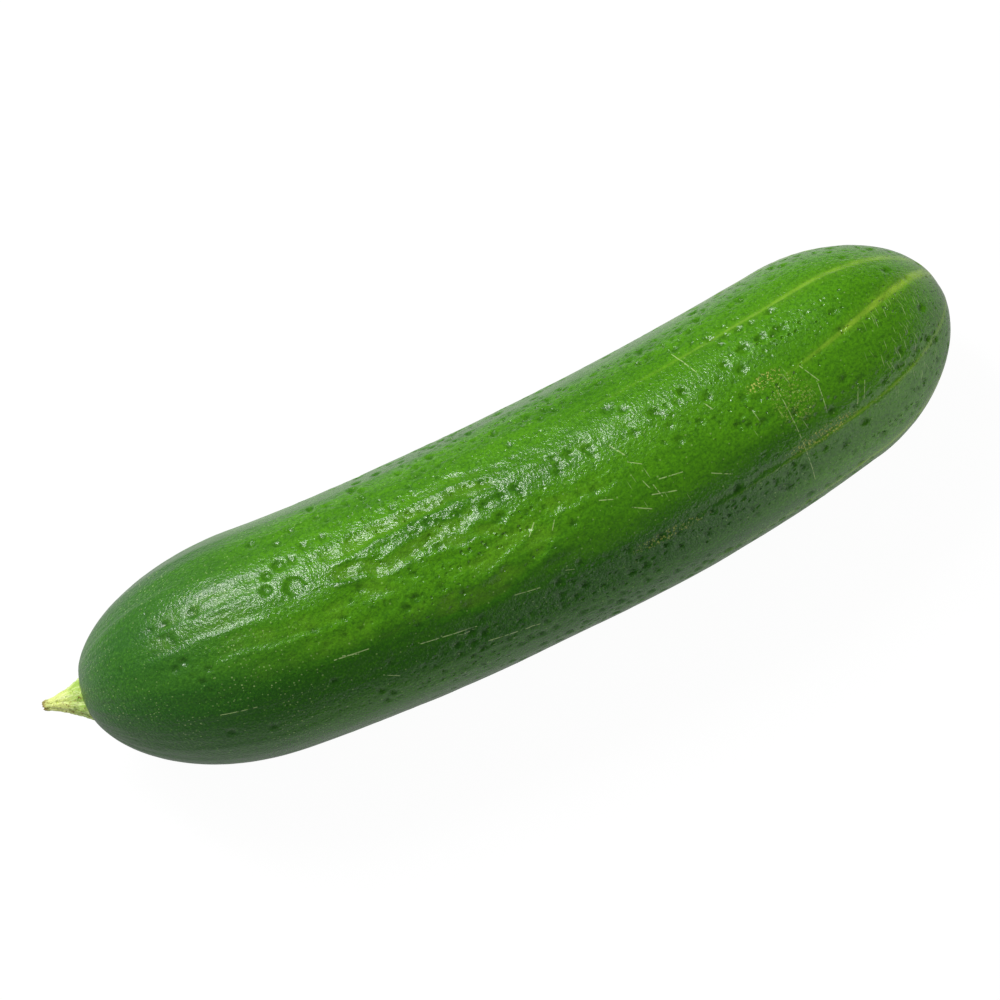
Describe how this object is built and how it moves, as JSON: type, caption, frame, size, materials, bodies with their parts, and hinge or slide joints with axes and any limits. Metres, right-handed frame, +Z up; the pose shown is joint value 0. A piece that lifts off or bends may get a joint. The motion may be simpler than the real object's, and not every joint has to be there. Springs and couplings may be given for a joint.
{
  "type": "cucumber",
  "caption": "Whole green slicing cucumber lying on its side, slightly bowed, with warty skin, pale lines at the blossom end and a dry stem stub.",
  "frame": {"origin": "middle of the underside of the box round the fruit and its stem stub, on the surface it lies on", "axes": "+X from the stem end to the blossom end, +Y towards the hollow side of the bow, +Z up"},
  "size_m": [0.2, 0.0506, 0.047],
  "materials": {
    "skin": "satin",
    "dry_stem": "matte"
  },
  "bodies": {
    "root": {"fruit": "skin", "stem_stub": "dry_stem"}
  },
  "joints": []
}
